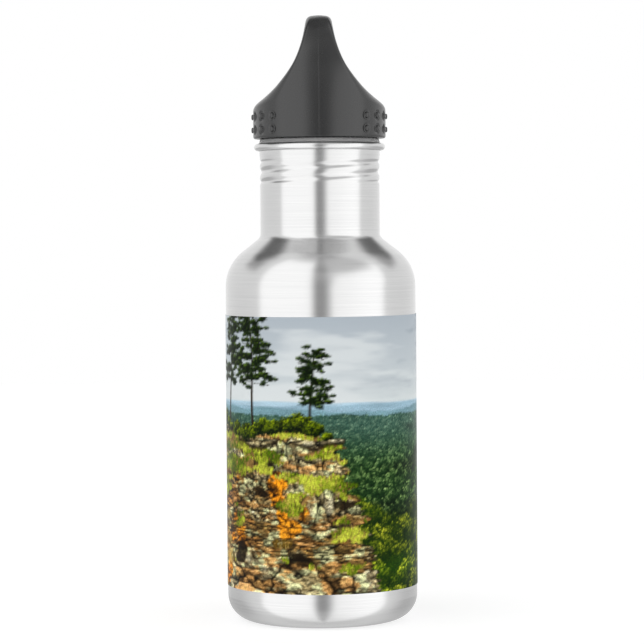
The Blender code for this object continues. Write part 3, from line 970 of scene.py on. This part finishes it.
def make_base(material):
    """The pressed and spun base, welded inside the shell's curl."""
    low, high = box_of("base_plate")
    rim, under, crown = high[0], low[2], high[2]
    dish = crown - WALL - 0.6
    lower = [(0, dish + 0.6)]
    for r in np.linspace(4.0, 18.8, 38):
        ripple = 0.22 * np.exp(-(((r - 11.5) / 1.0) ** 2)) - 0.16 * np.exp(-(((r - 15.5) / 0.8) ** 2))
        lower.append((r, dish + 0.52 - 0.46 * (r - 4.0) / 15.0 + ripple))
    lower += list(rounded_middle([(19.0, dish + 0.06), (20.2, dish), (21.0, dish - 0.8)], 6))
    lower += list(rounded_middle([(21.3, under + 1.1), (22.3, under), (23.2, under)], 6))
    lower += [(rim - 0.2, under), (rim, under + 0.2)]
    upper = [(r, z + WALL) for r, z in lower[:-2]] + [(rim - 0.1, under + WALL)]
    return turned("spun_base", lower + upper[::-1], material)


def make_wrap(material):
    """The printed wrap: a thin sleeve with its butt seam at the back, which carries the picture."""
    body = box_of("bottle_shell")[1][0]
    low, high = (corner[2] for corner in box_of("printed_film"))
    columns = int(round(tau * body / WRAP_STEP))
    rows = int(round((high - low) / WRAP_STEP))
    angles = FRONT + np.linspace(-pi + WRAP_SEAM, pi - WRAP_SEAM, columns + 1)
    heights = np.linspace(low, high, rows + 1)
    art = paint_picture(columns, rows, tau * body, high - low)

    def ring(radius, z):
        z = np.full_like(angles, z)
        return np.stack([radius * np.cos(angles), radius * np.sin(angles), z], 1)

    outer = [ring(body + WRAP_OUTSIDE, z) for z in heights]
    inner = [ring(body + WRAP_INSIDE, low), ring(body + WRAP_INSIDE, high)]
    points = np.concatenate(outer + inner)
    wide = columns + 1
    grid = np.arange((rows + 1) * wide).reshape(rows + 1, wide)
    back = grid.size + np.arange(2 * wide).reshape(2, wide)

    def band(first, second):
        return np.stack([first[:-1], first[1:], second[1:], second[:-1]], 1).tolist()

    faces = []
    for k in range(rows):
        faces += band(grid[k], grid[k + 1])
    faces += band(back[1], back[0]) + band(back[0], grid[0]) + band(grid[-1], back[1])
    faces.append([*grid[:, 0], back[1, 0], back[0, 0]])
    faces.append([*grid[::-1, -1], back[0, -1], back[1, -1]])
    wrap = new_object("picture_wrap", points, faces, material, SHARP_EDGE)
    colours = np.concatenate([art.reshape(-1, 4), np.full((2 * wide, 4), 0.6)])
    layer = wrap.data.color_attributes.new("picture", "FLOAT_COLOR", "POINT")
    layer.data.foreach_set("color", colours.astype(np.float32).ravel())
    return wrap


def make_cap(material):
    low, high = box_of("loop_cap")
    collar, bottom, top = high[1], low[2] - COLLAR_DROP, high[2]
    arch_height = top - ARCH_START
    heights, widths = np.array(FLANK).T
    fine = np.linspace(low[2] - 2, top + 4, 500)
    width_at = np.interp(fine, heights, widths)
    soft = np.hanning(FLANK_SOFTENING)
    ends = np.pad(width_at, FLANK_SOFTENING // 2, mode="edge")
    width_at = np.convolve(ends, soft / soft.sum(), mode="valid")
    slope_at = np.gradient(width_at, fine)

    def distance(x, y, z):
        radius, up = np.hypot(x, y), np.clip(z - ARCH_START, 0, None) / arch_height
        pressed = FRONT_FLAT * (1 + FRONT_RISE * up) * np.exp(-((x / FRONT_WIDTH) ** 2))
        across = (radius + pressed) / collar
        power = ARCH_POWER
        size = np.maximum(across**power + up**power, 1e-9) ** (1 / power)
        slope_r = (across / size) ** (power - 1) / collar
        slope_z = (up / size) ** (power - 1) / arch_height
        arch = (size - 1) / np.hypot(slope_r, slope_z)
        width, slope = np.interp(z, fine, width_at), np.interp(z, fine, slope_at)
        flank = (np.abs(x) - width) / np.sqrt(1 + slope**2)
        body = smooth_max(arch, flank, np.interp(z, BLEND_HEIGHTS, BLEND_WIDTHS))

        side, over = np.abs(y), z - HOLE_SPRING
        corner = np.hypot(np.maximum(side - HOLE_HALF_WIDTH + HOLE_CORNER, 0), over) - HOLE_CORNER
        ratio = np.maximum(np.hypot(side / HOLE_HALF_WIDTH, over / HOLE_ARCH_HEIGHT), 1e-6)
        steep = np.hypot(side / HOLE_HALF_WIDTH**2, over / HOLE_ARCH_HEIGHT**2) / ratio
        hole = np.where(over < 0, corner, (ratio - 1) / np.maximum(steep, 1e-6))
        body = smooth_max(body, -hole, HOLE_BLEND)
        body = smooth_max(body, bottom - z, 0.9)

        dome = np.hypot(radius / HOLLOW_RADIUS, (z - SOCKET_TOP) / (HOLLOW_TOP - SOCKET_TOP)) - 1
        socket = np.where(z < SOCKET_TOP, radius - SOCKET_RADIUS, 8.5 * dome)
        socket = np.maximum(socket, np.where(z < SOCKET_TOP, z - SOCKET_TOP, 8.5 * dome))
        body = smooth_max(body, -socket, 0.5)

        angle = np.arctan2(y, np.abs(x))
        nearest = np.clip(np.round(angle / DOT_STEP), -3, 3) * DOT_STEP
        row = np.where(np.abs(z - DOT_ROWS[0]) < np.abs(z - DOT_ROWS[1]), *DOT_ROWS)
        aside = np.hypot(radius * np.sin(angle - nearest), z - row)
        out = radius * np.cos(angle - nearest) - collar
        moat = np.hypot(aside - MOAT_REACH, out) - MOAT_DEPTH
        body = smooth_max(body, -moat, 0.1)
        aside, rise = aside / DOT_RADIUS, np.clip(out, 0, None) / DOT_HEIGHT
        size = np.maximum(aside**DOT_POWER + rise**DOT_POWER, 1e-3) ** (1 / DOT_POWER)
        steep = np.hypot((aside / size) ** 2 / DOT_RADIUS, (rise / size) ** 2 / DOT_HEIGHT)
        dot = np.maximum((size - 1) / np.maximum(steep, 0.1), -DOT_ROOT - out)
        return -smooth_max(-body, -dot, 0.08)

    margin = 1.5
    start, end = low - margin, high + margin
    points, quads = surface_net(distance, start, end, CAP_CELL)
    points = settle(distance, points, 2)
    for _ in range(2):
        points = settle(distance, relaxed(points, quads, 0.5), 2)
    return new_object("moulded_cap", points, quads, material)


def make_plug(material):
    low, high = box_of("threaded_plug")
    bottom, top, crest = low[2], high[2], high[0]
    rim = top - PLUG_RIM_HEIGHT

    def thread(angles, r, z):
        if r < PLUG_RADIUS - 0.05 or not THREAD_LOW < z < THREAD_HIGH:
            return 0 * angles
        near = thread_wave(angles, z, THREAD_SPACING / 2) / PLUG_THREAD_HALF_WIDTH
        wave = 0.5 * (1 + np.cos(pi * np.minimum(near, 1)))
        return (crest - PLUG_RADIUS) * wave * thread_fade(z)

    outline = [(PLUG_BORE, bottom + 0.2), (PLUG_BORE + 0.2, bottom)]
    outline += arc((PLUG_RADIUS - 0.6, bottom + 0.6), 0.6, -90, 0, 6)
    outline += straight((PLUG_RADIUS, THREAD_LOW), (PLUG_RADIUS, THREAD_HIGH), 50)
    outline += [(PLUG_RADIUS, rim - 0.2), (PLUG_RADIUS + 0.1, rim - 0.05)]
    outline += arc((PLUG_RIM_RADIUS - 0.15, rim + 0.15), 0.15, -60, 0, 3)
    outline += arc((PLUG_RIM_RADIUS - 0.3, top - 0.3), 0.3, 0, 90, 4)
    outline += [(PLUG_BORE + 0.2, top), (PLUG_BORE, top - 0.2)]
    outline += straight((PLUG_BORE, top - 2), (PLUG_BORE, bottom + 2), 8)
    return turned("plug", outline, material, thread)


def make_plug_end(material):
    """The disc that closes the plug, with a shallow recess and a moulding gate at its middle."""
    low, high = box_of("plug_end_disc")
    radius, bottom, top = high[0], low[2], high[2]
    outline = [(0, bottom + 0.15), (1.0, bottom + 0.15), (1.3, bottom + 0.45), (6.0, bottom + 0.45)]
    outline += straight((10.0, bottom + 0.45), (13.4, bottom + 0.45), 2)
    outline += [(13.7, bottom + 0.35), (13.9, bottom + 0.1), (14.2, bottom)]
    outline += arc((radius - 0.3, bottom + 0.3), 0.3, -90, 0, 4)
    outline += arc((radius - 0.2, top - 0.2), 0.2, 0, 90, 3) + [(9.0, top), (0, top)]
    return turned("plug_end", outline, material, sharp=radians(40))


def make_seal(material):
    low, high = box_of("seal_ring")
    inner, foot = SEAL_INNER, high[0]
    bottom, top = low[2] - SEAL_DROP, high[2] - SEAL_DROP + 0.1
    middle = (bottom + top) / 2
    corners = [(inner, bottom), (foot - 0.1, bottom), (foot, bottom + 0.45), (foot - 0.22, middle)]
    corners += [(foot - 0.12, middle + 0.15), (foot - 0.4, top), (inner, top)]
    return turned("seal", rounded(corners, 0.18), material, sharp=None)


# ---- stage -----------------------------------------------------------------------------------

# Camera: metres, millimetres of lens, and degrees
CAMERA_PLACE = (0, -1.0, 0.146)
CAMERA_LENS, CAMERA_SENSOR = 151.4, 36.0
CAMERA_TURN, CAMERA_TILT, CAMERA_ROLL = -0.0254, 90 - 2.073, -0.42

# Studio light, in degrees: azimuth is 0 in front of the bottle, where the camera is, and grows to
# its right; elevation is 0 at the horizon. The ranges are (left, right, low, high).
ROOM_LIGHT = 0.98
LEFT_BOX = (-79, -11, -95, 66)
LEFT_POWER = 0.50
RIGHT_BOX = (12, 82)
RIGHT_TOP = (16.0, 38.0)
RIGHT_POWER = (0.40, 0.56)
HIGH_SHADE = (-12, 84, 38, 120)
BACK_DARK = (34, 57)
OVER_DARK = (50, 85)
FLANK_DARK = (103, 134, 28, 47)
DARKEST = 0.85

# Floor
FLOOR_SIDES = 96
FLOOR_RADIUS = 1500.0
FLOOR_GAP = 0.05


def make_camera():
    camera = bpy.data.objects.new("camera", bpy.data.cameras.new("camera"))
    bpy.context.scene.collection.objects.link(camera)
    camera.data.lens = CAMERA_LENS
    camera.data.sensor_width = CAMERA_SENSOR
    camera.location = CAMERA_PLACE
    turn = Euler((0, 0, radians(CAMERA_TURN))).to_matrix()
    tilt = Euler((radians(CAMERA_TILT), 0, 0)).to_matrix()
    roll = Euler((0, 0, radians(CAMERA_ROLL))).to_matrix()
    camera.rotation_euler = (turn @ tilt @ roll).to_euler()
    bpy.context.scene.camera = camera


def make_light():
    """Soft studio light from all round, with two tall soft boxes in front and a dark ring behind.

    The dark gap between the boxes is what draws the stripe down the steel, and the ring behind
    the bottle is what draws the dark marks on its shoulder.
    """
    world = bpy.data.worlds.new("studio")
    bpy.context.scene.world = world
    world.use_nodes = True
    tree = world.node_tree
    tree.nodes.clear()
    x, y, z = wire(tree, "ShaderNodeTexCoord", output="Generated").parts()
    azimuth = x.math("ARCTAN2", y * -1.0) * (180 / pi)
    elevation = z.math("ARCSINE") * (180 / pi)

    def window(signal, low, high, soft):
        return signal.ease(low - soft, low + soft) * signal.ease(high - soft, high + soft, 1.0, 0.0)

    def box(sides, soft_side, soft_top):
        left, right, low, high = sides
        return window(azimuth, left, right, soft_side) * window(elevation, low, high, soft_top)

    # The two boxes. The right one widens upwards, and its top rises to the right.
    left = box(LEFT_BOX, 5.0, 5.0) * LEFT_POWER
    widening = azimuth - elevation.math("MAXIMUM", 0.0) * 0.25
    top = (elevation - azimuth * 0.2).ease(*RIGHT_TOP, 1.0, 0.0)
    right = window(widening, *RIGHT_BOX, 6.0) * top * azimuth.ease(12.0, 70.0, *RIGHT_POWER)
    light = left + right + ROOM_LIGHT

    # The gap between them, deepest near the horizon, and a darker stretch above the right box
    gap = elevation.ease(-60.0, -15.0, 0.35, 0.60) - elevation.ease(0.0, 75.0, 0.0, 0.35)
    light = light - azimuth.ease(-13.0, -3.0) * azimuth.ease(1.0, 18.0, 1.0, 0.0) * gap
    light = light - box(HIGH_SHADE, 8.0, 6.0) * 0.24

    # The ring behind: it leans down to the right, and is weaker where it passes the right side
    side = azimuth.math("ABSOLUTE")
    turn = (azimuth - 5.0).math("ABSOLUTE")
    relief = azimuth.ease(40.0, 80.0) * azimuth.ease(120.0, 150.0, 1.0, 0.0) * -0.2 + 1.0
    leaning = elevation + azimuth * 0.02
    back = turn.ease(98.0, 130.0) * window(leaning, *BACK_DARK, 5.0) * relief
    over = turn.ease(140.0, 160.0) * window(elevation, *OVER_DARK, 5.0)
    flank = window(turn, *FLANK_DARK[:2], 8.0) * window(elevation, *FLANK_DARK[2:], 5.0)
    dark = back.math("MAXIMUM", flank * 0.6).math("MAXIMUM", over * 0.8)
    light = light * (dark * -DARKEST + 1.0)

    # A dimmer ceiling, a dimmer floor, and a shaded stretch low down behind
    light = light * elevation.ease(70.0, 84.0, 1.0, 0.66)
    light = light * elevation.ease(-85.0, -35.0, 0.78, 1.0)
    low = elevation.ease(-62.0, -26.0, 0.0, 0.38) * elevation.ease(-10.0, -3.0, 1.0, 0.0)
    light = light * (low * side.ease(85.0, 125.0) * -1.0 + 1.0)

    # Seen directly, the room is plain white
    seen = wire(tree, "ShaderNodeLightPath", output="Is Camera Ray")
    strength = light * (seen * -1.0 + 1.0) + seen
    values = {"Color": grey(1.0), "Strength": strength}
    shade = wire(tree, "ShaderNodeBackground", values, output="Background")
    out = tree.nodes.new("ShaderNodeOutputWorld")
    tree.links.new(shade.socket, out.inputs["Surface"])


def make_floor():
    """A pale round floor that brightens outwards into the white room."""
    made, tree, drive = new_material("pale_floor", {"Roughness": 0.7, "Emission Strength": 1.0})
    x, y, _ = place(tree).parts()
    far = (x * x + y * y).math("SQRT").ease(0.06, 0.45)
    speck = place(tree).noise(260.0, 3.0, 0.6)
    drive("Base Color", (far * 0.98 + speck * 0.02).blend(grey(0.5), grey(0.0)))
    drive("Emission Color", far.blend(grey(0.6), grey(1.0)))
    angles = np.arange(FLOOR_SIDES) * tau / FLOOR_SIDES
    rim = [(FLOOR_RADIUS * cos(a), FLOOR_RADIUS * sin(a), -FLOOR_GAP) for a in angles]
    disc = new_object("floor", rim, [range(FLOOR_SIDES)], made)
    disc.visible_glossy = False


# ---- assembly --------------------------------------------------------------------------------


def dress(piece, body, node):
    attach(piece, body)
    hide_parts(node)


def main():
    make_camera()
    make_light()
    make_floor()
    view = bpy.context.scene.view_settings
    view.view_transform = "Standard"

    shell_steel = brushed_steel("brushed_shell")
    base_steel = brushed_steel("spun_base_steel", roughness=0.22)
    cap_black = moulded_plastic("cap_charcoal", (0.0030, 0.0031, 0.0034), 0.27, parting=True)
    plug_black = moulded_plastic("plug_charcoal", (0.025, 0.026, 0.027), 0.42)
    end_black = moulded_plastic("plug_end_charcoal", (0.028, 0.028, 0.028), 0.5, grain=1200.0)

    dress(make_steel_shell(shell_steel), "bottle", "bottle_shell")
    dress(make_base(base_steel), "bottle", "base_plate")
    dress(make_wrap(printed_wrap("picture_film")), "bottle", "printed_film")
    dress(make_cap(cap_black), "cap", "loop_cap")
    dress(make_plug(plug_black), "cap", "threaded_plug")
    dress(make_plug_end(end_black), "cap", "plug_end_disc")
    dress(make_seal(silicone("grey_silicone")), "seal", "seal_ring")


main()
